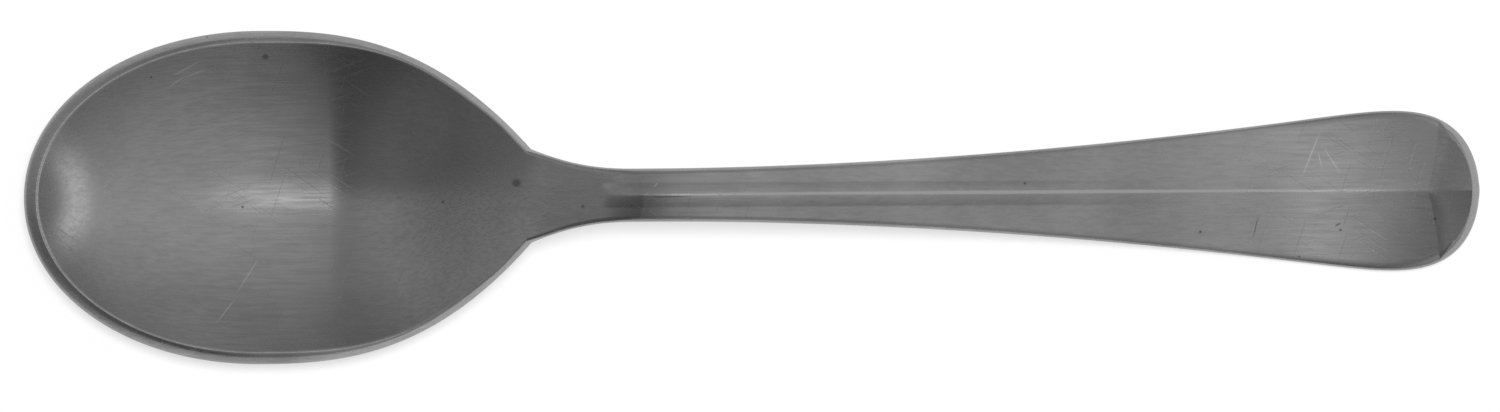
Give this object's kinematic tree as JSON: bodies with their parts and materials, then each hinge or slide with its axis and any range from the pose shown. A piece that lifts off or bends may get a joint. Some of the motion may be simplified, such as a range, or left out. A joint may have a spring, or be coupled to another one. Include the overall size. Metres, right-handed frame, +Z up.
{
  "type": "demitasse spoon",
  "caption": "Small coffee spoon with an oval pressed bowl brazed to a slim ribbed stem that widens into a ridged, lipped and turned-up handle end.",
  "frame": {"origin": "on the table under the middle of the spoon's length, with the spoon lying face up", "axes": "+X from the tip of the bowl to the end of the handle, +Y across, +Z up out of the bowl"},
  "size_m": [0.1079, 0.0248, 0.0113],
  "materials": {
    "bowl_metal": "worn satin polish with fine scratches",
    "handle_metal": "worn satin polish with fine scratches",
    "braze_filler": "dull silver-coloured filler, polished flush"
  },
  "bodies": {
    "root": {"bowl": "bowl_metal", "handle": "handle_metal", "braze_joint": "braze_filler"}
  },
  "joints": []
}
